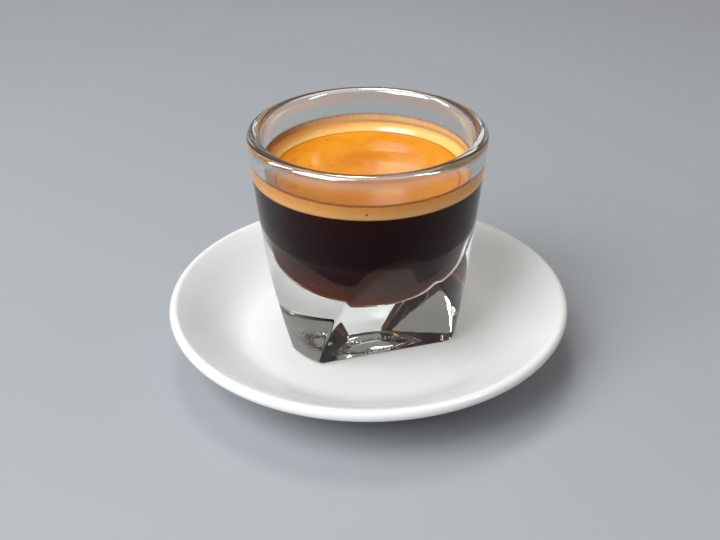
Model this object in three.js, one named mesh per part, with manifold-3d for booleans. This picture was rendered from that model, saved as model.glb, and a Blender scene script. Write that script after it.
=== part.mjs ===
// A double espresso in a small thick glass, standing on a white saucer.
// Millimetres, +Z up, -Y towards the drinker. The origin is on the ground, under the saucer's middle.

import * as THREE from "three";
import { mergeVertices, toCreasedNormals } from "three/addons/utils/BufferGeometryUtils.js";
import Module from "manifold-3d";

// Saucer: heights above the ground
const SAUCER_RADIUS = 57.8;
const SAUCER_LIP_RADIUS = 1.6;
const SAUCER_LIP_HEIGHT = 16.2;
const SAUCER_SLOPE = THREE.MathUtils.degToRad(33);
const SLOPE_EASE = 8;
const WELL_RADIUS = 35;
const WELL_HEIGHT = 6.5;
const UNDERSIDE_HEIGHT = 2.4;
const FOOT_RING_INNER = 30;
const FOOT_RING_OUTER = 34;
const FOOT_RING_BEVEL = 0.8;

// Glass: heights above its own foot
const RIM_RADIUS = 32.5;
const RIM_HEIGHT = 60.2;
const LIP_RADIUS = 1.9;
const FOOT_RADIUS = 26.4;
const HEEL_RADIUS = 1.6;
const WALL_BULGE = 0.5;
const PUNT_RADIUS = 9.4;
const PUNT_DEPTH = 1.2;

// Hollow of the glass: a round bottom, a side that flares out and a straight taper up to the lip
const HOLLOW_BOTTOM = 17;
const HOLLOW_BOTTOM_EASE = 13.5;
const BOWL_RADIUS = 17.2;
const BOWL_HEIGHT = 26;
const BOWL_FLARE = 0.25;
const BOWL_EASE = 5.2;
const FLARE_EASE = 8;
const SHOULDER_RADIUS = 27.7;
const SHOULDER_HEIGHT = 46;
const SHOULDER_EASE = 7.5;

// Three flat facets that turn the round wall into a three-cornered foot
const FACETS = 3;
const FACET_AZIMUTH = THREE.MathUtils.degToRad(16.9);
const FACET_TILT = THREE.MathUtils.degToRad(20.2);
const FACET_APOTHEM = 17.1;

// Drink: heights above the glass's foot
const CREMA_BOTTOM = 49.2;
const CREMA_LEVEL = 50.3;
const CREMA_POOL_RADIUS = 25.2;
const MENISCUS_HEIGHT = 52.4;
const FILM_HEIGHT = 55.2;
const FILM_THICKNESS = 0.8;

// Room left between pieces that touch
const GAP = 0.3;

// Sides of the round pieces, and the angle from which an edge is drawn sharp
const SAUCER_SIDES = 72;
const GLASS_SIDES = 72;
const DRINK_SIDES = 60;
const SHARP_ANGLE = THREE.MathUtils.degToRad(20);

const wasm = await Module();
wasm.setup();

// A profile in (radius, height) turned about the vertical axis
function turned(profile, steps, sides) {
  const geometry = new THREE.LatheGeometry(profile.getPoints(steps), sides);
  return geometry.rotateX(Math.PI / 2);
}

// A closed three.js geometry as a solid that can be cut
function toSolid(geometry) {
  const bare = geometry.clone();
  bare.deleteAttribute("normal");
  bare.deleteAttribute("uv");
  const merged = mergeVertices(bare);
  const corners = [];
  for (let i = 0; i < merged.index.count; i += 3) {
    const [a, b, c] = [0, 1, 2].map((k) => merged.index.getX(i + k));
    if (a !== b && b !== c && c !== a) corners.push(a, b, c);
  }
  const mesh = new wasm.Mesh({
    numProp: 3,
    vertProperties: new Float32Array(merged.attributes.position.array),
    triVerts: new Uint32Array(corners),
  });
  return new wasm.Manifold(mesh);
}

// A cut solid as a three.js geometry again, with its cut edges sharp
function toGeometry(solid) {
  const mesh = solid.getMesh();
  const geometry = new THREE.BufferGeometry();
  geometry.setAttribute("position", new THREE.BufferAttribute(mesh.vertProperties, 3));
  geometry.setIndex(new THREE.BufferAttribute(mesh.triVerts, 1));
  return toCreasedNormals(geometry, SHARP_ANGLE);
}

function piece(name, geometry, finish) {
  const mesh = new THREE.Mesh(geometry, new THREE.MeshStandardMaterial(finish));
  mesh.name = name;
  return mesh;
}

// The hollow's radius on the straight taper between its shoulder and the lip
function hollowRadius(height) {
  const rise = (height - SHOULDER_HEIGHT) / (RIM_HEIGHT - SHOULDER_HEIGHT);
  return THREE.MathUtils.lerp(SHOULDER_RADIUS, RIM_RADIUS - 2 * LIP_RADIUS, rise);
}

// The hollow's side from its bottom up to its shoulder, drawn in by a gap, as two runs of four corners
function hollowSide(gap) {
  const bottom = HOLLOW_BOTTOM + gap;
  const taperStart = SHOULDER_HEIGHT - SHOULDER_EASE;
  const bowl = [
    [0, bottom],
    [HOLLOW_BOTTOM_EASE, bottom],
    [BOWL_RADIUS - BOWL_FLARE * BOWL_EASE - gap, BOWL_HEIGHT - BOWL_EASE],
    [BOWL_RADIUS - gap, BOWL_HEIGHT],
  ];
  const flare = [
    [BOWL_RADIUS - gap, BOWL_HEIGHT],
    [BOWL_RADIUS + BOWL_FLARE * FLARE_EASE - gap, BOWL_HEIGHT + FLARE_EASE],
    [hollowRadius(taperStart) - gap, taperStart],
    [SHOULDER_RADIUS - gap, SHOULDER_HEIGHT],
  ];
  return [bowl, flare];
}

// Adds one run of four corners to a profile as a free curve
function addCurve(profile, [, startPull, endPull, end]) {
  profile.bezierCurveTo(...startPull, ...endPull, ...end);
}

function saucerProfile() {
  const lipMiddle = SAUCER_RADIUS - SAUCER_LIP_RADIUS;
  const lipAcross = Math.sin(SAUCER_SLOPE) * SAUCER_LIP_RADIUS;
  const lipUp = Math.cos(SAUCER_SLOPE) * SAUCER_LIP_RADIUS;
  const easeAcross = Math.cos(SAUCER_SLOPE) * SLOPE_EASE;
  const easeUp = Math.sin(SAUCER_SLOPE) * SLOPE_EASE;
  const under = [lipMiddle + lipAcross, SAUCER_LIP_HEIGHT - lipUp];
  const over = [lipMiddle - lipAcross, SAUCER_LIP_HEIGHT + lipUp];
  const footEdge = [FOOT_RING_OUTER + FOOT_RING_BEVEL, UNDERSIDE_HEIGHT];
  const wellEdge = [WELL_RADIUS, WELL_HEIGHT];
  const underside = [
    footEdge,
    [footEdge[0] + SLOPE_EASE, UNDERSIDE_HEIGHT],
    [under[0] - easeAcross, under[1] - easeUp],
    under,
  ];
  const topside = [
    over,
    [over[0] - easeAcross, over[1] - easeUp],
    [WELL_RADIUS + SLOPE_EASE, WELL_HEIGHT],
    wellEdge,
  ];
  const lipStart = SAUCER_SLOPE - Math.PI / 2;
  const profile = new THREE.Path();
  profile.moveTo(0, UNDERSIDE_HEIGHT);
  profile.lineTo(FOOT_RING_INNER - FOOT_RING_BEVEL, UNDERSIDE_HEIGHT);
  profile.lineTo(FOOT_RING_INNER, FOOT_RING_BEVEL);
  profile.lineTo(FOOT_RING_INNER + FOOT_RING_BEVEL, 0);
  profile.lineTo(FOOT_RING_OUTER - FOOT_RING_BEVEL, 0);
  profile.lineTo(FOOT_RING_OUTER, FOOT_RING_BEVEL);
  profile.lineTo(...footEdge);
  addCurve(profile, underside);
  profile.absarc(lipMiddle, SAUCER_LIP_HEIGHT, SAUCER_LIP_RADIUS, lipStart, lipStart + Math.PI, false);
  addCurve(profile, topside);
  profile.lineTo(0, WELL_HEIGHT);
  return profile;
}

function glassProfile() {
  const lipMiddle = RIM_RADIUS - LIP_RADIUS;
  const middleRadius = (FOOT_RADIUS + RIM_RADIUS) / 2 + WALL_BULGE;
  const [bowl, flare] = hollowSide(0);
  const profile = new THREE.Path();
  profile.moveTo(0, PUNT_DEPTH);
  profile.quadraticCurveTo(PUNT_RADIUS / 2, PUNT_DEPTH, PUNT_RADIUS, 0);
  profile.lineTo(FOOT_RADIUS - HEEL_RADIUS, 0);
  profile.quadraticCurveTo(FOOT_RADIUS, 0, FOOT_RADIUS, HEEL_RADIUS);
  profile.quadraticCurveTo(middleRadius, RIM_HEIGHT / 2, RIM_RADIUS, RIM_HEIGHT);
  profile.absarc(lipMiddle, RIM_HEIGHT, LIP_RADIUS, 0, Math.PI, false);
  profile.lineTo(SHOULDER_RADIUS, SHOULDER_HEIGHT);
  addCurve(profile, flare.reverse());
  addCurve(profile, bowl.reverse());
  return profile;
}

// A block whose inner face is one facet's plane, for cutting the glass
function facetCutter(azimuth) {
  const width = 4 * RIM_RADIUS;
  const depth = RIM_RADIUS;
  const block = new THREE.BoxGeometry(width, depth, 2 * RIM_HEIGHT);
  block.translate(0, -depth / 2, 0);
  block.rotateX(FACET_TILT);
  block.translate(0, -FACET_APOTHEM, 0);
  return block.rotateZ(azimuth);
}

function glassGeometry() {
  let solid = toSolid(turned(glassProfile(), 6, GLASS_SIDES));
  for (let i = 0; i < FACETS; i += 1) {
    const azimuth = FACET_AZIMUTH + (2 * Math.PI * i) / FACETS;
    solid = solid.subtract(toSolid(facetCutter(azimuth)));
  }
  return toGeometry(solid);
}

function coffeeProfile() {
  const top = CREMA_BOTTOM - GAP;
  const [bowl, flare] = hollowSide(GAP);
  const profile = new THREE.Path();
  profile.moveTo(...bowl[0]);
  addCurve(profile, bowl);
  addCurve(profile, flare);
  profile.lineTo(hollowRadius(top) - GAP, top);
  profile.lineTo(0, top);
  return profile;
}

// Foam that lies on the coffee and clings to the wall as a thin collar above it
function cremaProfile() {
  const filmOutside = hollowRadius(FILM_HEIGHT) - GAP;
  const meniscus = hollowRadius(MENISCUS_HEIGHT) - GAP - FILM_THICKNESS;
  const profile = new THREE.Path();
  profile.moveTo(0, CREMA_BOTTOM);
  profile.lineTo(hollowRadius(CREMA_BOTTOM) - GAP, CREMA_BOTTOM);
  profile.lineTo(filmOutside, FILM_HEIGHT);
  profile.lineTo(filmOutside - FILM_THICKNESS, FILM_HEIGHT - FILM_THICKNESS);
  profile.lineTo(meniscus, MENISCUS_HEIGHT);
  profile.quadraticCurveTo(meniscus, CREMA_LEVEL, CREMA_POOL_RADIUS, CREMA_LEVEL);
  profile.lineTo(0, CREMA_LEVEL);
  return profile;
}

const saucer = piece("saucer", turned(saucerProfile(), 8, SAUCER_SIDES), {
  color: 0xf1f1ef,
  roughness: 0.12,
  metalness: 0,
});

const glass = piece("glass", glassGeometry(), {
  color: 0xeaf0ec,
  roughness: 0.03,
  metalness: 0,
  transparent: true,
  opacity: 0.35,
});

const coffee = piece("coffee", turned(coffeeProfile(), 6, DRINK_SIDES), {
  color: 0x1b0b0a,
  roughness: 0.15,
  metalness: 0,
});

const crema = piece("crema", turned(cremaProfile(), 4, DRINK_SIDES), {
  color: 0xd89238,
  roughness: 0.45,
  metalness: 0,
});

// The filled glass stands on the saucer's well
const filledGlass = new THREE.Group();
filledGlass.position.z = WELL_HEIGHT + GAP;
filledGlass.add(glass, coffee, crema);

const espresso = new THREE.Group();
espresso.add(saucer, filledGlass);

export default espresso;
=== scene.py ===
# %% [markdown]
# A double espresso in a small heavy glass, standing on a white saucer. The solids of the part come
# ready made and are only looked at here: this lesson dresses each of them with a finer mesh and a
# finish of its own. Everything is in metres, +Z is up and -Y points at the drinker.

# %% Load the fixed frame
import math

import bpy
import numpy as np
from mathutils import Matrix, Vector, noise


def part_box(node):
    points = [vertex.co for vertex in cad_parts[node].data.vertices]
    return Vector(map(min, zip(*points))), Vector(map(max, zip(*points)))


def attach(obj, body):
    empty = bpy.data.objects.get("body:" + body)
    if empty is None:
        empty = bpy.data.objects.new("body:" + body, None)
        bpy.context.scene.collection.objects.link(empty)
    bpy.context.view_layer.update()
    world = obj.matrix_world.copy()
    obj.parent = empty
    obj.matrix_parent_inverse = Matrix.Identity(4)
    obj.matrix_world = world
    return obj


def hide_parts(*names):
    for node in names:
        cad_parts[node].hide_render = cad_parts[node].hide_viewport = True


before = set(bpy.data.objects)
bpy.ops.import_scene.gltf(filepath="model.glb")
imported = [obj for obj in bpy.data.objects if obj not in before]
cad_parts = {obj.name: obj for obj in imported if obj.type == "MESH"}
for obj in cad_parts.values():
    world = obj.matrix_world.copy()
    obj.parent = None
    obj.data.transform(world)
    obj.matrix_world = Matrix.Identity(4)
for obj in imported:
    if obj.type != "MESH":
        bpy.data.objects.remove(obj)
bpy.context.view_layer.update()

print("nodes", sorted(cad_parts))

# %% [markdown]
# Sizes come from the solids where they can be measured there: a node's box gives the rim's radius or
# the top of the foam. The rest are named where they are first needed, as millimetres times MM, so that
# no bare number hides in the shapes. Heights of the glass and the drink count from the glass's foot.

# %% Sizes from the solids
MM = 0.001
saucer_low, saucer_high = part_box("saucer")
glass_low, glass_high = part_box("glass")
crema_low, crema_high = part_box("crema")
GLASS_FOOT = glass_low.z
print("saucer %.1f mm across and %.1f mm high" % (2 * saucer_high.x / MM, (saucer_high - saucer_low).z / MM))
print("glass %.1f mm across and %.1f mm high" % (2 * glass_high.x / MM, (glass_high - glass_low).z / MM))

# %% [markdown]
# Every piece here is round or nearly round, so one tool makes them all: it skins a stack of closed
# rings, as a potter's coil pot is built. A ring whose radius changes along the way gives flats and
# ribs. Blender's Screw modifier could turn a profile too, but not one that changes on its way round.

# %% The ring tool
def ring(radius, height, sides):
    """One closed ring of points, starting on the drinker's side and going to the right."""
    turn = np.linspace(0, 2 * math.pi, sides, endpoint=False)
    radius = np.broadcast_to(radius, turn.shape)
    height = np.broadcast_to(height, turn.shape)
    return np.stack([radius * np.sin(turn), -radius * np.cos(turn), height], axis=1)


def pole(height):
    """A ring shrunk to one point on the axis, which closes an end."""
    return np.array([[0.0, 0.0, height]])


def skin(rings, start=0):
    """Faces between neighbouring rings whose points are numbered on from start."""
    faces = []
    for low, high in zip(rings, rings[1:]):
        here = start + np.arange(len(low))
        there = start + len(low) + np.arange(len(high))
        if len(low) == 1:
            faces += np.stack([np.repeat(here, len(high)), np.roll(there, -1), there], 1).tolist()
        elif len(high) == 1:
            faces += np.stack([here, np.roll(here, -1), np.repeat(there, len(low))], 1).tolist()
        else:
            faces += np.stack([here, np.roll(here, -1), np.roll(there, -1), there], 1).tolist()
        start += len(low)
    return faces


print("a small cone has the faces", skin([ring(1, 0, 3), pole(1)]))

# %% [markdown]
# A list of points and faces becomes a mesh, and the mesh becomes an object that is linked into the
# scene. Smooth shading hides the sides of the rings, so no subdivision is needed on top. A piece that
# is quite round needs only a profile.

# %% From rings to pieces
def new_piece(name, rings, faces):
    """A smooth mesh as a new object of the scene."""
    mesh = bpy.data.meshes.new(name)
    mesh.from_pydata(np.concatenate(rings).tolist(), [], faces)
    mesh.shade_smooth()
    mesh.update()
    piece = bpy.data.objects.new(name, mesh)
    bpy.context.scene.collection.objects.link(piece)
    print("%s: %d faces" % (name, len(faces)))
    return piece


def loft(name, rings):
    """A closed piece through rings that go up the outside and end on the axis."""
    return new_piece(name, rings, skin(rings))


def turned(name, profile, sides):
    """A round piece from a profile of (radius, height) points that starts and ends on the axis."""
    inner = [ring(radius, height, sides) for radius, height in profile[1:-1]]
    return loft(name, [pole(profile[0][1])] + inner + [pole(profile[-1][1])])


# %% [markdown]
# A profile is drawn with the same curves that a drawing board has: a free curve pulled by two handles,
# a round arc, and a corner that is eased off. Blender's curve objects could hold them, but plain points
# can be measured, moved and handed from one piece to the next.

# %% Curves for profiles
def steps_to(start, end, count):
    """Values in even steps from start to end, without start itself."""
    return np.linspace(start, end, count + 1)[1:]


def free_curve(start, pull_start, pull_end, end, steps):
    """Points of a cubic curve, without its first point."""
    corners = [np.array(point) for point in (start, pull_start, pull_end, end)]
    points = []
    for t in steps_to(0, 1, steps):
        weights = ((1 - t) ** 3, 3 * t * (1 - t) ** 2, 3 * t * t * (1 - t), t ** 3)
        points.append(tuple(sum(w * c for w, c in zip(weights, corners))))
    return points


def arc(middle, radius, start_degrees, end_degrees, steps):
    """Points on a round arc about middle, without its first point."""
    turns = np.radians(steps_to(start_degrees, end_degrees, steps))
    return [(middle[0] + radius * math.cos(t), middle[1] + radius * math.sin(t)) for t in turns]


def rounded(points, radius, steps=4):
    """The same outline with each inner corner eased over a length of radius."""
    eased = [points[0]]
    for before, corner, after in zip(points, points[1:], points[2:]):
        corner = Vector(corner)
        lead = corner + (Vector(before) - corner).normalized() * radius
        leave = corner + (Vector(after) - corner).normalized() * radius
        for t in np.linspace(0, 1, steps + 1):
            eased.append(tuple(lead.lerp(corner, t).lerp(corner.lerp(leave, t), t)))
    return eased + [points[-1]]


print("one eased corner takes %d points" % len(rounded([(0, 0), (1, 0), (1, 1)], 0.3)))

# %% [markdown]
# The finishes are node trees, and node trees are sums. This small class wraps one socket and lets
# Python's own signs add the nodes: a sum of values becomes Math nodes, and a sum of colours or
# directions becomes Vector Math, because a Math node would turn a colour grey. Every other node comes
# from its one method, which takes the node's type, its settings and then its sockets.

# %% Shader sums
class Wire:
    """A socket of a node tree that Python's operators carry on."""

    def __init__(self, tree, socket=None):
        self.tree = tree
        self.socket = socket

    def node(self, kind, settings, sockets, output=0):
        """Adds a node of any kind: settings first, then values or links for its sockets."""
        made = self.tree.nodes.new("ShaderNode" + kind)
        for name, value in settings.items():
            setattr(made, name, value)
        for name, value in sockets.items():
            feed(made, name, value)
        return Wire(self.tree, made.outputs[output])

    def sum_of(self, operation, first, second):
        sockets = [wire.socket for wire in (first, second) if isinstance(wire, Wire)]
        directions = any(socket.type in ("VECTOR", "RGBA") for socket in sockets)
        kind = "VectorMath" if directions else "Math"
        return self.node(kind, {"operation": operation}, {0: first, 1: second})

    def __add__(self, other):
        return self.sum_of("ADD", self, other)

    def __radd__(self, other):
        return self.sum_of("ADD", other, self)

    def __sub__(self, other):
        return self.sum_of("SUBTRACT", self, other)

    def __rsub__(self, other):
        return self.sum_of("SUBTRACT", other, self)

    def __mul__(self, other):
        return self.sum_of("MULTIPLY", self, other)

    def __rmul__(self, other):
        return self.sum_of("MULTIPLY", other, self)

    def __pow__(self, other):
        return self.sum_of("POWER", self, other)

    def __rpow__(self, other):
        return self.sum_of("POWER", other, self)

    def ramp(self, low, high):
        """0 below low and 1 above high, with an eased step between."""
        settings = {"interpolation_type": "SMOOTHSTEP"}
        return self.node("MapRange", settings, {"Value": self, "From Min": low, "From Max": high})

    def between(self, low, high):
        """Mixes two colours, low where this value is 0 and high where it is 1."""
        return self.node("Mix", {"data_type": "RGBA"}, {0: self, 6: low, 7: high}, output=2)


def feed(node, name, value):
    """Sets or links one socket of a node."""
    if isinstance(value, Wire):
        value.tree.links.new(value.socket, node.inputs[name])
    else:
        node.inputs[name].default_value = value


print("a wire knows", ", ".join(name for name in vars(Wire) if not name.startswith("_")))

# %% [markdown]
# A few small helpers start every finish: a colour as a screen shows it, a new material with its shader,
# the place on the part that is being painted, and smooth noise for what is never quite even.

# %% Tools for finishes
def paint(red, green, blue):
    """A colour as a screen shows it, 0 to 255, as the linear colour that shaders use."""
    linear = [c / 12.92 if c <= 0.04045 else ((c + 0.055) / 1.055) ** 2.4
              for c in (red / 255, green / 255, blue / 255)]
    return (*linear, 1.0)


def new_finish(name):
    """A new material, its shader, and a wire that starts sums in its tree."""
    material = bpy.data.materials.new(name)
    material.use_nodes = True
    shader = material.node_tree.nodes["Principled BSDF"]
    return material, shader, Wire(material.node_tree)


def place_on(start):
    """The place on the part that is being painted."""
    return start.node("TexCoord", {}, {}, "Object")


def along(place, axis):
    """How far a place lies along one axis."""
    return place.node("SeparateXYZ", {}, {"Vector": place}, axis)


def grain(start, size, detail=3.0, offset=0.0):
    """Smooth noise from 0 to 1 whose lumps are about size metres across."""
    place = place_on(start) + (offset, offset, offset)
    return start.node("TexNoise", {}, {"Vector": place, "Scale": 1 / size, "Detail": detail})


print("middle grey on a screen is %.3f to a shader" % paint(128, 128, 128)[0])

# %% [markdown]
# A finished piece gets its material and is tied to the part: it rides on the one body there is, and
# the solids that it stands for are hidden and named.

# %% Dressing a piece
def dress(piece, material, slot, *nodes):
    """Gives a piece its finish and ties it to the part."""
    piece.data.materials.append(material)
    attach(piece, "root")
    if nodes:
        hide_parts(*nodes)
    print("%s wears %s for %s" % (piece.name, material.name, ", ".join(nodes) or "no solid"))


print("solids to dress", sorted(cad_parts))

# %% [markdown]
# A saucer stands on a low ring under its well, bevelled on both sides as it comes off the plaster mould.
# It could be a ring of its own, joined on below. As a row of corners on the saucer's one profile it
# leaves no seam.

# %% The saucer's foot
UNDERSIDE = 2.4 * MM
FOOT_RING_INNER = 30 * MM
FOOT_RING_OUTER = 34 * MM
FOOT_RING_BEVEL = 0.8 * MM
FOOT_RING = [
    (0, UNDERSIDE),
    (FOOT_RING_INNER - FOOT_RING_BEVEL, UNDERSIDE),
    (FOOT_RING_INNER, FOOT_RING_BEVEL),
    (FOOT_RING_INNER + FOOT_RING_BEVEL, 0),
    (FOOT_RING_OUTER - FOOT_RING_BEVEL, 0),
    (FOOT_RING_OUTER, FOOT_RING_BEVEL),
    (FOOT_RING_OUTER + FOOT_RING_BEVEL, UNDERSIDE),
]
print("foot ring %.0f mm wide" % ((FOOT_RING_OUTER - FOOT_RING_INNER) / MM))

# %% [markdown]
# The saucer is slip-cast porcelain: a flat well, a soft slope and a rounded lip. It could be sculpted
# from a disc, but a real one is shaped by a turning blade, so one turned profile gives its even slope.
# Glaze runs off sharp corners, so the foot ring's corners are eased.

# %% The saucer's shape
SAUCER_SIDES = 256
SAUCER_RADIUS = saucer_high.x
SAUCER_LIP = 1.6 * MM
SAUCER_RIM = saucer_high.z - SAUCER_LIP
SAUCER_SLOPE = math.radians(33)
SLOPE_EASE = 8 * MM
WELL_HEIGHT = 6.5 * MM
WELL_RADIUS = 35 * MM
GLAZE_EASE = 0.35 * MM


def saucer_profile():
    """From the middle of the underside, round the lip and back to the middle of the well."""
    lip_middle = (SAUCER_RADIUS - SAUCER_LIP, SAUCER_RIM)
    slope = np.array([math.cos(SAUCER_SLOPE), math.sin(SAUCER_SLOPE)])
    across = np.array([slope[1], -slope[0]])
    under = lip_middle + SAUCER_LIP * across
    over = lip_middle - SAUCER_LIP * across
    leave = (FOOT_RING[-1][0] + SLOPE_EASE, UNDERSIDE)
    arrive = (WELL_RADIUS + SLOPE_EASE, WELL_HEIGHT)
    profile = rounded(FOOT_RING + [leave], GLAZE_EASE)[:-1]
    profile += free_curve(profile[-1], leave, under - SLOPE_EASE * slope, under, steps=40)
    tilt = math.degrees(SAUCER_SLOPE)
    profile += arc(lip_middle, SAUCER_LIP, tilt - 90, tilt + 90, steps=24)
    profile += free_curve(over, over - SLOPE_EASE * slope, arrive, (WELL_RADIUS, WELL_HEIGHT), steps=48)
    profile += [(WELL_RADIUS * part, WELL_HEIGHT) for part in (0.75, 0.5, 0.25)]
    return profile + [(0, WELL_HEIGHT)]


saucer = turned("white_saucer", saucer_profile(), SAUCER_SIDES)

# %% [markdown]
# White glaze is a glassy coat over a white body. Its colour hardly changes, but the coat lies in slow
# waves that make reflections swim a little, and the foot ring is wiped bare before firing, so it is
# rough and a shade warmer there. A plain white would look like plastic: the waves, as a weak bump, and
# an uneven roughness make it a glaze.

# %% The saucer's glaze
def glaze_finish():
    material, shader, start = new_finish("white_glaze")
    height = along(place_on(start), "Z")
    bare = 1 - height.ramp(0.1 * MM, 0.5 * MM)
    cloud = grain(start, 14 * MM)
    glazed = cloud.between(paint(241, 241, 240), paint(246, 246, 245))
    feed(shader, "Base Color", bare.between(glazed, paint(214, 206, 192)))
    feed(shader, "Roughness", 0.15 + 0.06 * grain(start, 5 * MM, offset=1.0) + 0.4 * bare)
    waves = grain(start, 9 * MM, detail=1.0, offset=2.0)
    bump = start.node("Bump", {}, {"Height": waves, "Strength": 0.12, "Distance": 0.1 * MM})
    feed(shader, "Normal", bump)
    return material


dress(saucer, glaze_finish(), "white_glaze", "saucer")

# %% [markdown]
# The glass is pressed and fire-polished: round at the rim, with three big flats that lean inwards
# below and meet the foot as a three-cornered shape. A boolean cut would leave edges as sharp as a
# knife. Here each ring takes the nearer of the round wall and the flat, with an eased step between
# the two, so the edges come out softly melted, as they do in the fire.

# %% The glass's outside
GLASS_SIDES = 540
LIP_RADIUS = 1.9 * MM
RIM_RADIUS = glass_high.x
RIM_HEIGHT = glass_high.z - LIP_RADIUS - GLASS_FOOT
FOOT_RADIUS = 26.4 * MM
WALL_BULGE = 0.5 * MM
HEEL = 1.6 * MM
FACETS = 3
FACET_AZIMUTH = math.radians(16.9)
FACET_TILT = math.radians(20.2)
FACET_APOTHEM = 17.1 * MM
MELTED_EDGE = 0.6 * MM
glass_turn = np.linspace(0, 2 * math.pi, GLASS_SIDES, endpoint=False)


def eased_min(first, second, ease):
    """The smaller of two values, with the change-over eased."""
    step = np.clip(ease - np.abs(first - second), 0, None) / ease
    return np.minimum(first, second) - step * step * ease / 4


def glass_radius(height):
    """The outside radius all the way round at one height above the foot."""
    rise = height / RIM_HEIGHT
    middle = (FOOT_RADIUS + RIM_RADIUS) / 2 + WALL_BULGE
    wall = (1 - rise) ** 2 * FOOT_RADIUS + 2 * rise * (1 - rise) * middle + rise ** 2 * RIM_RADIUS
    below = max(0.0, 1 - height / HEEL)
    wall -= HEEL * (1 - math.sqrt(1 - below ** 2))
    share = 2 * math.pi / FACETS
    away = (glass_turn - FACET_AZIMUTH + share / 2) % share - share / 2
    flat = (FACET_APOTHEM + math.tan(FACET_TILT) * height) / np.cos(away)
    return eased_min(wall, flat, MELTED_EDGE)


foot_radius = glass_radius(0)
print("foot %.1f to %.1f mm from the axis" % (foot_radius.min() / MM, foot_radius.max() / MM))

# %% [markdown]
# Inside, the hollow has a round bottom and a side that swings out to a straight taper up to the lip. A
# Solidify modifier would give a wall of one thickness, but this glass is thick below and thin above, so
# the hollow has two free curves of its own. Coffee and crema follow the same lines later.

# %% The glass's hollow
SHOULDER_RADIUS = 27.7 * MM
SHOULDER_HEIGHT = 46 * MM
HOLLOW_BOTTOM = 17 * MM
HOLLOW_BOWL = [(0, HOLLOW_BOTTOM), (13.5 * MM, HOLLOW_BOTTOM), (15.9 * MM, 20.8 * MM), (17.2 * MM, 26 * MM)]
HOLLOW_FLARE = [HOLLOW_BOWL[-1], (19.2 * MM, 34 * MM), (27.17 * MM, 38.5 * MM),
                (SHOULDER_RADIUS, SHOULDER_HEIGHT)]
HOLLOW_TAPER = (RIM_RADIUS - 2 * LIP_RADIUS - SHOULDER_RADIUS) / (RIM_HEIGHT - SHOULDER_HEIGHT)


def hollow_radius(height):
    """The inside radius on the straight taper between shoulder and lip."""
    return SHOULDER_RADIUS + HOLLOW_TAPER * (height - SHOULDER_HEIGHT)


def hollow_side():
    """The hollow's profile from its bottom up to the shoulder, without the point on the axis."""
    return free_curve(*HOLLOW_BOWL, steps=18) + free_curve(*HOLLOW_FLARE, steps=16)


print("hollow %.1f mm deep" % ((RIM_HEIGHT + LIP_RADIUS - HOLLOW_BOTTOM) / MM))

# %% [markdown]
# Under the foot a ring of small dimples, pressed in so that the glass doesn't cling to a wet saucer,
# goes round a shallow dome that glassmakers call the punt. A bump could draw the dimples, but they
# sparkle through the foot, and only real dents in the mesh bend light as glass does.

# %% Under the glass's foot
SOLE_EDGE = 0.3 * MM
PUNT_RADIUS = 9.4 * MM
PUNT_DEPTH = 1.2 * MM
DIMPLES = 60
DIMPLE_DEPTH = 0.9 * MM
DIMPLE_RADIUS = 10.8 * MM
DIMPLE_WIDTH = 2.2 * MM


def sole_rings():
    """Radius and height of each ring from the dome out to the sole's edge."""
    rings = [(PUNT_RADIUS * part, PUNT_DEPTH * (1 - part ** 2)) for part in steps_to(0, 1, 10)]
    dents = DIMPLE_DEPTH * np.clip(np.cos(DIMPLES * glass_turn), 0, 1)
    for part in np.linspace(-1, 1, 11):
        rings.append((DIMPLE_RADIUS + part * DIMPLE_WIDTH / 2, dents * (1 - part ** 2)))
    inner = DIMPLE_RADIUS + DIMPLE_WIDTH / 2
    outer = glass_radius(0) - SOLE_EDGE
    return rings + [(inner + (outer - inner) * part, 0) for part in (0.35, 0.7, 1.0)]


print("%d dimples of %.1f mm" % (DIMPLES, DIMPLE_WIDTH / MM))

# %% [markdown]
# The glass is one skin: out under the foot, up the wall, over the lip and down the hollow. Rings lie
# close together where the flats end, because their curved tops need them, and wide apart above.

# %% The glass's mesh
FACET_TOP = 42 * MM


def wall_rings():
    """Up the outside, from the sole's eased edge to the lip."""
    rings = []
    for height in SOLE_EDGE * np.array([0.3, 0.6, 1.0]):
        eased = SOLE_EDGE * (1 - math.sqrt(1 - (1 - height / SOLE_EDGE) ** 2))
        rings.append((glass_radius(height) - eased, height))
    heel = steps_to(SOLE_EDGE, HEEL, 8)
    flats = steps_to(HEEL, FACET_TOP, 79)
    plain = steps_to(FACET_TOP, RIM_HEIGHT, 11)
    return rings + [(glass_radius(height), height) for height in (*heel, *flats, *plain)]


def inside_rings():
    """Over the lip and down the hollow."""
    lip = arc((RIM_RADIUS - LIP_RADIUS, RIM_HEIGHT), LIP_RADIUS, 0, 180, steps=20)
    taper = [(hollow_radius(height), height) for height in steps_to(RIM_HEIGHT, SHOULDER_HEIGHT, 7)]
    return lip + taper + hollow_side()[::-1][1:]


def glass_mesh():
    rings = [pole(GLASS_FOOT + PUNT_DEPTH)]
    for radius, height in sole_rings() + wall_rings() + inside_rings():
        rings.append(ring(radius, GLASS_FOOT + height, GLASS_SIDES))
    return loft("clear_glass", rings + [pole(GLASS_FOOT + HOLLOW_BOTTOM)])


glass = glass_mesh()
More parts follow.
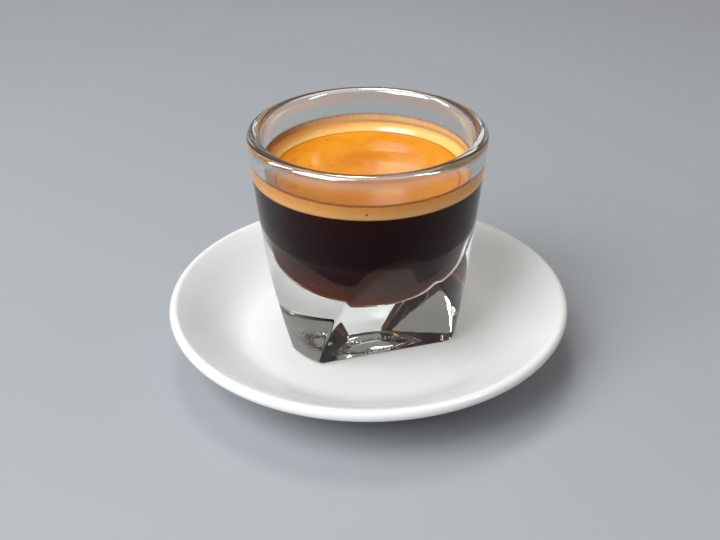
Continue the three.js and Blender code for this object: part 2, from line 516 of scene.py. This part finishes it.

# %% [markdown]
# Clear glass is all transmission: the colours in it are what stands behind and around. Its faint green
# is stronger in the thick foot, and the foot's tint is darkened further as painted shade, for the shade
# under the glass. A pressed wall is never quite even, so a slow ripple bends the
# reflections, more of it low down, where the mould chilled the glass. Specular Tint holds back the
# mirror image of the pale floor, which would lie over the dark coffee like a veil, and a coat gives the
# fire-polished lip its gloss back. Rays on their way to a lamp meet a grey veil in place of the glass,
# because the bright patches that real glass throws take a renderer very long to find.

# %% The glass's finish
THIN_GLASS = (0.87, 0.89, 0.877, 1)
THICK_GLASS_AND_SHADE = (0.72, 0.75, 0.73, 1)
SHADOW_VEIL = (0.43, 0.45, 0.44, 1)


def glass_finish():
    material, shader, start = new_finish("clear_glass")
    height = along(place_on(start), "Z") - GLASS_FOOT
    # the foot's darker tint is partly the green of thick glass and partly painted shade
    thick = 1 - height.ramp(12 * MM, 26 * MM)
    feed(shader, "Base Color", thick.between(THIN_GLASS, THICK_GLASS_AND_SHADE))
    feed(shader, "Roughness", 0.0)
    feed(shader, "IOR", 1.5)
    feed(shader, "Transmission Weight", 1.0)
    feed(shader, "Specular Tint", (0.2, 0.2, 0.2, 1))
    feed(shader, "Coat Weight", height.ramp(RIM_HEIGHT - 3 * MM, RIM_HEIGHT))
    feed(shader, "Coat IOR", 2.4)
    chilled = 1 - height.ramp(1 * MM, 16 * MM)
    slow = grain(start, 7 * MM, detail=1.0)
    quick = grain(start, 3.5 * MM, detail=1.0, offset=3.0)
    ripple = slow + 12 * chilled * quick
    bump = start.node("Bump", {}, {"Height": ripple, "Strength": 0.06, "Distance": 0.1 * MM})
    feed(shader, "Normal", bump)
    seen = Wire(start.tree, shader.outputs[0])
    veil = start.node("BsdfTransparent", {}, {"Color": SHADOW_VEIL})
    shadow_ray = start.node("LightPath", {}, {}, "Is Shadow Ray")
    both = start.node("MixShader", {}, {0: shadow_ray, 1: seen, 2: veil})
    feed(material.node_tree.nodes["Material Output"], "Surface", both)
    return material


dress(glass, glass_finish(), "clear_glass", "glass")

# %% [markdown]
# The coffee fills the hollow. It could be a copy of the hollow's own faces, but two skins in one place
# flicker, and a gap between them would show as a silver skin of air. So it gets a profile of its own
# that reaches a hair into the wall.

# %% The coffee's shape
DRINK_SIDES = 200
INTO_WALL = 0.06 * MM
CREMA_BOTTOM = crema_low.z - GLASS_FOOT


def coffee_profile():
    top = CREMA_BOTTOM + INTO_WALL
    profile = [(0, HOLLOW_BOTTOM - INTO_WALL)]
    profile += [(radius + INTO_WALL, height - INTO_WALL) for radius, height in hollow_side()]
    for height in steps_to(SHOULDER_HEIGHT, top, 5):
        profile.append((hollow_radius(height) + INTO_WALL, height))
    return [(radius, GLASS_FOOT + height) for radius, height in profile + [(0, top)]]


coffee = turned("espresso", coffee_profile(), DRINK_SIDES)

# %% [markdown]
# Espresso lets almost no light through. A volume that swallows light would be the true way, but it is
# slow and grainy, so the coffee is an opaque, nearly black brown. Its lower part gets painted light: a
# lighter brown that stands in for the light coming in through the flats and the heavy foot. It climbs
# higher behind each flat and higher on the side of the main lamp, and it turns orange brown at the
# bottom as a painted glow from the foot. Seen from inside glass, coffee is the thinner stuff of the two:
# an IOR just below 1 turns it into a mirror at a glancing angle, and that draws the fine bright line
# along its lower edge.

# %% The coffee's finish
PAINTED_LIGHT_HEIGHT = 8.7 * MM
PAINTED_LIGHT_BEHIND_FLAT = 7 * MM
PAINTED_LIGHT_LEFT = 5 * MM
PAINTED_LIGHT_RIGHT = 2.5 * MM
FOOT_GLOW_HEIGHT = 9 * MM


def coffee_finish():
    material, shader, start = new_finish("dark_coffee")
    place = place_on(start)
    x, y, z = [along(place, axis) for axis in "XYZ"]
    above = z - (GLASS_FOOT + HOLLOW_BOTTOM)
    haze = grain(start, 4 * MM)
    deep = haze.between(paint(34, 4, 7), paint(42, 7, 9))
    # painted light: a lighter brown up to a height that climbs behind each flat and on the lamp's side
    azimuth = start.node("Math", {"operation": "ARCTAN2"}, {0: x, 1: 0 - y})
    turns = FACETS * (azimuth - FACET_AZIMUTH)
    behind_flat = start.node("Math", {"operation": "COSINE"}, {0: turns}).ramp(0.0, 1.0)
    sides = PAINTED_LIGHT_LEFT * (0 - x).ramp(5 * MM, 16 * MM) + PAINTED_LIGHT_RIGHT * x.ramp(14 * MM, 18 * MM)
    reach = PAINTED_LIGHT_HEIGHT + PAINTED_LIGHT_BEHIND_FLAT * behind_flat + sides
    painted_light = 1 - (above - reach).ramp(-0.6 * MM, 0.6 * MM)
    colour = painted_light.between(deep, paint(84, 54, 49))
    # painted glow: orange brown near the bottom, standing in for light through the heavy foot
    foot_glow = 1 - above.ramp(0.5 * MM, FOOT_GLOW_HEIGHT)
    feed(shader, "Base Color", foot_glow.between(colour, paint(128, 64, 26)))
    feed(shader, "Roughness", 0.04 + 0.04 * haze)
    feed(shader, "IOR", 0.962)
    return material


dress(coffee, coffee_finish(), "dark_coffee", "coffee")

# %% [markdown]
# Crema is a fine foam. It has sunk a little since it was poured, so it leaves a thin film on the wall
# above, and its surface climbs to that film in a glossy curve. The film stands a little higher at the
# back, where the glass was tilted on its way. The surface is not a flat disc: slow noise lifts and
# lowers it by a hundredth of a millimetre, which is enough to make reflections on it swim.

# %% The crema's shape
CREMA_SIDES = 240
CREMA_LEVEL = 50.3 * MM
POOL_RADIUS = 25.2 * MM
MENISCUS = 52.4 * MM
FILM_RADIUS = 28 * MM
FILM_TILT = 0.7 * MM
FILM_MIDDLE = crema_high.z - GLASS_FOOT - FILM_TILT
FILM_THICKNESS = 0.5 * MM
FILM_EDGE = 0.12 * MM
CLIMB_PULL_UP = 0.4 * MM
CLIMB_PULL_OUT = 0.9 * MM
RELIEF = 0.012 * MM
RELIEF_FADE = 0.25
crema_turn = np.linspace(0, 2 * math.pi, CREMA_SIDES, endpoint=False)


def lumps(radius, size, seed):
    """Smooth noise, -1 to 1, all the way round at one radius."""
    return np.array([
        noise.noise(Vector((radius * math.sin(t) / size, radius * math.cos(t) / size, seed)))
        for t in crema_turn])


def film_rings():
    """Up the wall behind the film and down its open side."""
    top = FILM_MIDDLE - FILM_TILT * np.cos(crema_turn)
    rings = []
    for part in (0.0, 0.1, 0.25, 0.5, 0.75, 0.9, 1.0):
        height = CREMA_BOTTOM + (top - CREMA_BOTTOM) * part
        rings.append((hollow_radius(height) + INTO_WALL, height))
    for part in np.linspace(0, 1, 9):
        height = top + (MENISCUS - top) * part
        thick = FILM_EDGE + (FILM_THICKNESS - FILM_EDGE) * part
        rings.append((hollow_radius(height) - thick, height))
    return rings


def pool_rings():
    """Down the climbing edge and in to the middle."""
    foot = hollow_radius(MENISCUS) - FILM_THICKNESS
    rings = free_curve((foot, MENISCUS), (foot, CREMA_LEVEL + CLIMB_PULL_UP),
                       (POOL_RADIUS + CLIMB_PULL_OUT, CREMA_LEVEL), (POOL_RADIUS, CREMA_LEVEL), steps=14)
    for part in steps_to(1, 0, 59)[:-1]:
        radius = POOL_RADIUS * part
        fade = min(1.0, (1 - part) / RELIEF_FADE)
        swell = lumps(radius, size=6 * MM, seed=7.0) + 0.4 * lumps(radius, size=2 * MM, seed=9.0)
        rings.append((radius, CREMA_LEVEL + RELIEF * fade * swell))
    return rings


def crema_mesh():
    rings = [pole(GLASS_FOOT + CREMA_BOTTOM)]
    for radius, height in film_rings() + pool_rings():
        rings.append(ring(radius, GLASS_FOOT + height, CREMA_SIDES))
    return loft("crema_foam", rings + [pole(GLASS_FOOT + CREMA_LEVEL)])


crema = crema_mesh()

# %% [markdown]
# The foam's colours are laid on as a painter would glaze them: each is a mask made from the place on
# the foam, mixed over what lies below. Such masks need no unwrapping and stay sharp close up. Seen from
# above the pool is a deep orange gold, with a darker dent and streaks pulled round by the pour.

# %% The pool's colours
DENT_X = -2 * MM
DENT_Y = 5 * MM
DENT_SQUASH = 1.6
STREAK_PULL = (0.3, 1.0, 1.0)
STREAK_SIZE = 1.8 * MM


def pool_colour(place, x, y, cloud):
    gold = cloud.ramp(0.3, 0.7).between(paint(226, 138, 14), paint(238, 152, 28))
    aside = x - DENT_X
    behind = y - DENT_Y
    dent = (aside * aside + DENT_SQUASH * behind * behind) ** 0.5
    gold = ((1 - dent.ramp(3 * MM, 9 * MM)) * 0.8).between(gold, paint(216, 124, 4))
    streaks = place.node("TexNoise", {}, {
        "Vector": place * STREAK_PULL, "Scale": 1 / STREAK_SIZE, "Detail": 4.0})
    return (streaks.ramp(0.55, 0.75) * 0.4).between(gold, paint(204, 112, 14))


print("dent %.1f mm from the middle" % (math.hypot(DENT_X, DENT_Y) / MM))

# %% [markdown]
# The foam is paler where it climbs to the wall, and its climbing edge is browner at the front. Towards
# the drinker, where the foam lies behind the front wall, it is darkened further with painted shade. A
# brown line marks where the pool meets the climbing edge. Brown smudges lie on the left, and a white
# painted highlight lies on the climbing edge at the back, where a lamp would glint.

# %% The climbing edge's colours
SMUDGE_RADIUS = 22.5 * MM
MENISCUS_HIGHLIGHT_RADIUS = 26.4 * MM
MENISCUS_HIGHLIGHT_X = 8.5 * MM


def line_at(value, place, width):
    """1 where a value is at a place, down to 0 a width away on both sides."""
    away = value.node("Math", {"operation": "ABSOLUTE"}, {0: value - place})
    return 1 - away.ramp(0.2 * width, width)


def edge_colour(pool, x, y, radius, cloud):
    climbing = y.ramp(-12 * MM, 14 * MM).between(paint(204, 132, 60), paint(250, 198, 116))
    colour = radius.ramp(POOL_RADIUS - 0.1 * MM, POOL_RADIUS + 0.5 * MM).between(pool, climbing)
    # painted shade on the front part of the foam, behind the front wall
    near = 1 - y.ramp(-24 * MM, 5 * MM)
    colour = (near * 0.8).between(colour, paint(196, 118, 54))
    left = 1 - x.ramp(-22 * MM, -6 * MM)
    smudge = cloud.ramp(0.45, 0.65) * line_at(radius, SMUDGE_RADIUS, 3 * MM) * left
    colour = (smudge * 0.8).between(colour, paint(168, 86, 12))
    colour = (line_at(radius, POOL_RADIUS, 0.6 * MM) * 0.75).between(colour, paint(184, 92, 8))
    # painted highlight: a white patch on the back of the climbing edge, where a lamp would glint
    painted_highlight = line_at(radius, MENISCUS_HIGHLIGHT_RADIUS, 1.1 * MM) * line_at(x, MENISCUS_HIGHLIGHT_X, 7.5 * MM) * y.ramp(8 * MM, 20 * MM)
    return painted_highlight.between(colour, paint(255, 248, 230))


print("pool %.1f mm across" % (2 * POOL_RADIUS / MM))

# %% [markdown]
# Higher up the foam only clings as a tan film with fine upright streaks, darker on the left, and a soft
# painted shadow line lies along its foot. Behind the wall of the glass the foam shows as a band that is
# palest just above the coffee. The sum for the wall's radius works on a wire as it does on a number.

# %% The film's colours
def film_colour(below, clinging, columns, x, height):
    foam = columns.between(paint(204, 164, 110), paint(220, 184, 136))
    foam = (1 - x.ramp(-27 * MM, -14 * MM)).between(foam, paint(172, 120, 66))
    colour = clinging.between(below, foam)
    # painted shadow line along the film's foot
    painted_shadow_line = line_at(height, MENISCUS + 0.3 * MM, 0.7 * MM) * x.ramp(-14 * MM, 4 * MM)
    return (painted_shadow_line * 0.6).between(colour, paint(158, 122, 80))


def band_colour(start, inside, radius, height):
    outside = (radius - hollow_radius(height)).ramp(-0.05 * MM, 0.03 * MM)
    band = grain(start, 1.5 * MM).between(paint(244, 162, 78), paint(252, 174, 92))
    pale = 1 - height.ramp(CREMA_BOTTOM, CREMA_BOTTOM + 3 * MM)
    return outside.between(inside, pale.between(band, paint(252, 192, 126)))


print("film %.1f mm high" % ((FILM_MIDDLE - MENISCUS) / MM))

# %% [markdown]
# The film thins out to nothing along a torn, browner edge, which Alpha fades away, and one dark fleck
# of coffee stuck to the wall in front. The pool is wet and smooth, the film is dull. Fine pores are a
# bump, since they are far smaller than the mesh.

# %% The crema's finish
FLECK = (-0.2 * MM, -28.1 * MM, GLASS_FOOT + 50.9 * MM)
COLUMN_PULL = (1.0, 1.0, 0.15)
COLUMN_SIZE = 0.8 * MM
PORE_SIZE = 0.9 * MM
TORN = 0.5 * MM


def crema_finish():
    material, shader, start = new_finish("golden_crema")
    place = place_on(start)
    x, y, z = [along(place, axis) for axis in "XYZ"]
    radius = (x * x + y * y) ** 0.5
    height = z - GLASS_FOOT
    cloud = grain(start, 7 * MM, detail=4.0)
    columns = start.node("TexNoise", {}, {
        "Vector": place * COLUMN_PULL, "Scale": 1 / COLUMN_SIZE, "Detail": 3.0})
    clinging = height.ramp(MENISCUS - 0.5 * MM, MENISCUS + 0.9 * MM)
    colour = edge_colour(pool_colour(place, x, y, cloud), x, y, radius, cloud)
    colour = film_colour(colour, clinging, columns, x, height)
    colour = band_colour(start, colour, radius, height)
    depth = FILM_MIDDLE + y * (FILM_TILT / FILM_RADIUS) - height
    torn = depth + TORN * (columns - 0.5)
    rim = y.ramp(-8 * MM, 20 * MM).between(paint(166, 76, 10), paint(184, 138, 96))
    colour = ((1 - torn.ramp(0.2 * MM, 1.2 * MM)) * 0.9).between(colour, rim)
    fleck = start.node("VectorMath", {"operation": "DISTANCE"}, {0: place, 1: FLECK}, "Value")
    colour = (1 - fleck.ramp(0.2 * MM, 0.34 * MM)).between(colour, paint(48, 16, 10))
    feed(shader, "Base Color", colour)
    feed(shader, "Alpha", torn.ramp(-0.1 * MM, 1.0 * MM))
    feed(shader, "Roughness", 0.10 + 0.06 * cloud + 0.3 * clinging)
    feed(shader, "Specular IOR Level", 0.2)
    pores = start.node("TexVoronoi", {}, {"Vector": place, "Scale": 1 / PORE_SIZE}, "Distance")
    bump = start.node("Bump", {}, {
        "Height": pores.ramp(0.0, 0.35), "Strength": 0.12, "Distance": 0.04 * MM})
    feed(shader, "Normal", bump)
    return material


dress(crema, crema_finish(), "golden_crema", "crema")

# %% [markdown]
# A few bubbles too large for the foam rise to its top and sit there half sunk, some in a cluster and
# the others along the pool's edge. Instances of one sphere could be scattered there. One mesh of small
# flattened domes, each closed underneath, is simpler to hand on. The seed is fixed, so that they fall
# in the same places every time.

# %% The bubbles' shape
BUBBLES = 70
BUBBLE_SEED = 11
BUBBLE_SMALL = 0.1 * MM
BUBBLE_LARGE = 0.32 * MM
BUBBLE_SUNK = 0.03 * MM
BUBBLE_FLATNESS = 0.6
CLUSTER = (-8.4 * MM, 2.1 * MM)
CLUSTER_SPREAD = 2.6 * MM
EDGE_SPREAD = 2.5 * MM
EDGE_GAP = 0.6 * MM
DOME_SIDES = 10
DOME_RINGS = 4


def bubble(x, y, radius):
    """Rings of one bubble, from its flat foot just under the foam up to its top."""
    foot = GLASS_FOOT + CREMA_LEVEL - BUBBLE_SUNK
    rings = [pole(foot)]
    for tilt in np.linspace(0, math.pi / 2, DOME_RINGS + 1)[:-1]:
        height = foot + BUBBLE_FLATNESS * radius * math.sin(tilt)
        rings.append(ring(radius * math.cos(tilt), height, DOME_SIDES))
    rings.append(pole(foot + BUBBLE_FLATNESS * radius))
    return [points + (x, y, 0) for points in rings]


def bubble_mesh():
    chance = np.random.default_rng(BUBBLE_SEED)
    rings = []
    faces = []
    count = 0
    for i in range(BUBBLES):
        if i % 2:
            x, y = np.array(CLUSTER) + CLUSTER_SPREAD * chance.normal(size=2)
        else:
            away = POOL_RADIUS - abs(chance.normal(0, EDGE_SPREAD)) - EDGE_GAP
            turn = chance.uniform(0, 2 * math.pi)
            x, y = away * math.sin(turn), -away * math.cos(turn)
        dome = bubble(x, y, chance.uniform(BUBBLE_SMALL, BUBBLE_LARGE))
        faces += skin(dome, count)
        rings += dome
        count += sum(len(points) for points in dome)
    return new_piece("crema_bubbles", rings, faces)


bubbles = bubble_mesh()

# %% [markdown]
# A bubble's skin is a glossy film of coffee. Its colour swings from one bubble to the next between a
# pale painted highlight, for bubbles that catch the light, and a darker painted brown for those that
# show the dark below.

# %% The bubbles' finish
def bubble_finish():
    material, shader, start = new_finish("bubble_skin")
    # painted light and shade: each bubble is painted as catching the light or as showing the dark below
    painted_light_and_shade = grain(start, 1.5 * MM)
    feed(shader, "Base Color", painted_light_and_shade.ramp(0.35, 0.65).between(paint(178, 96, 18), paint(232, 168, 78)))
    feed(shader, "Roughness", 0.08)
    return material


dress(bubbles, bubble_finish(), "golden_crema")

# %% [markdown]
# The stage is a wide pale floor. A curved backdrop would hide the horizon, but the camera looks down,
# so a plane is enough.

# %% The floor
FLOOR_SIZE = 6.0


def floor_finish():
    material, shader, start = new_finish("pale_floor")
    cloud = grain(start, size=0.2)
    feed(shader, "Base Color", cloud.between(paint(164, 168, 174), paint(170, 174, 179)))
    feed(shader, "Roughness", 0.5)
    return material


bpy.ops.mesh.primitive_plane_add(size=FLOOR_SIZE)
floor = bpy.context.object
floor.name = "floor"
floor.data.materials.append(floor_finish())
print("floor %.0f m wide" % FLOOR_SIZE)

# %% [markdown]
# Glass shows its form by what it mirrors. One broad soft panel high on the front left does the
# lighting. It is hidden from rays that have gone through glass, or its white oblong would stand in the
# flats of the foot. A small far window lays a sheen on the foam, a small one overhead draws fine
# highlights, two narrow cards at the sides show as bright lines on the lip and in the foot, and a wide
# dim card overhead brightens the lip. The cards don't light matt surfaces.

# %% Lamps
LAMPS_AIM = Vector((0, 0, 0.04))


def panel(name, place, size, watts, colour=(1, 1, 1)):
    """A flat lamp that looks at the glass."""
    light = bpy.data.lights.new(name, "AREA")
    light.shape = "RECTANGLE"
    light.size, light.size_y = size
    light.energy = watts
    light.color = colour
    lamp = bpy.data.objects.new(name, light)
    lamp.location = place
    lamp.rotation_euler = (LAMPS_AIM - Vector(place)).to_track_quat("-Z", "Y").to_euler()
    bpy.context.scene.collection.objects.link(lamp)
    print("%s: %.2f W" % (name, watts))
    return lamp


main = panel("front_left_panel", (-0.6, -0.45, 0.85), size=(0.8, 0.8), watts=13.5, colour=(0.97, 0.99, 1.0))
main.visible_transmission = False
panel("top_window", (-0.08, 0.25, 0.9), size=(0.2, 0.3), watts=1.5)
panel("far_window", (0.06, 1.5, 0.75), size=(0.08, 0.06), watts=0.08)
ceiling = panel("ceiling_card", (0, 0, 1.0), size=(1.2, 1.2), watts=4.0)
ceiling.visible_diffuse = False
ceiling.visible_transmission = False
for name, place in {"left_card": (-0.5, 0.05, 0.35), "right_card": (0.45, -0.2, 0.5)}.items():
    card = panel(name, place, size=(0.09, 0.4), watts=1.0)
    card.visible_diffuse = False

# %% [markdown]
# A dim, plain surround fills the shadows, as the walls of a room do. A sky would do that too, but its
# colours would show in the glass. The Standard view shows colours as they are, because the
# paints above were chosen as a screen shows them.

# %% The surround
SURROUND = (1.0, 0.96, 0.91, 1)
SURROUND_STRENGTH = 0.28

world = bpy.data.worlds.new("studio")
bpy.context.scene.world = world
world.use_nodes = True
background = world.node_tree.nodes["Background"]
feed(background, "Color", SURROUND)
feed(background, "Strength", SURROUND_STRENGTH)
bpy.context.scene.view_settings.view_transform = "Standard"
print("surround strength %.2f" % SURROUND_STRENGTH)

# %% [markdown]
# The camera looks down at the drink, and its angles were worked out from the outlines of rim and
# saucer. A Track To constraint would keep it upright, but it leans to one side by half a degree, so its
# three directions are worked out here.

# %% Where the camera looks
FOCAL_PIXELS = 970.7
SIDE_PIXELS = 9.3
LOOK_DOWN = math.radians(30.59)
TURN_LEFT = math.atan(SIDE_PIXELS / FOCAL_PIXELS)
LEAN = math.radians(0.49)

forward = Vector((-math.sin(TURN_LEFT) * math.cos(LOOK_DOWN),
                  math.cos(TURN_LEFT) * math.cos(LOOK_DOWN),
                  -math.sin(LOOK_DOWN)))
right = Vector((math.cos(TURN_LEFT), math.sin(TURN_LEFT), 0))
up = right.cross(forward)
leaned_right = right * math.cos(LEAN) - up * math.sin(LEAN)
leaned_up = up * math.cos(LEAN) + right * math.sin(LEAN)
print("looks down %.1f and left %.1f degrees" % (math.degrees(LOOK_DOWN), math.degrees(TURN_LEFT)))

# %% [markdown]
# It stands where the drinker's eye would be, a little above the rim and about a forearm away. The three
# directions are the columns of its matrix.

# %% Camera
FRAME_WIDTH = 720
SENSOR_WIDTH = 36.0
EYE_BACK = 242.9 * MM
EYE_ABOVE_RIM = 101.0 * MM

lens = bpy.data.cameras.new("eye")
lens.sensor_width = SENSOR_WIDTH
lens.lens = FOCAL_PIXELS / FRAME_WIDTH * SENSOR_WIDTH
lens.clip_start = 10 * MM
camera = bpy.data.objects.new("eye", lens)
directions = Matrix((leaned_right, leaned_up, -forward)).transposed().to_4x4()
eye = Vector((0, -EYE_BACK, GLASS_FOOT + RIM_HEIGHT + EYE_ABOVE_RIM))
camera.matrix_world = Matrix.Translation(eye) @ directions
bpy.context.scene.collection.objects.link(camera)
bpy.context.scene.camera = camera
print("camera lens %.1f mm" % lens.lens)

# %% [markdown]
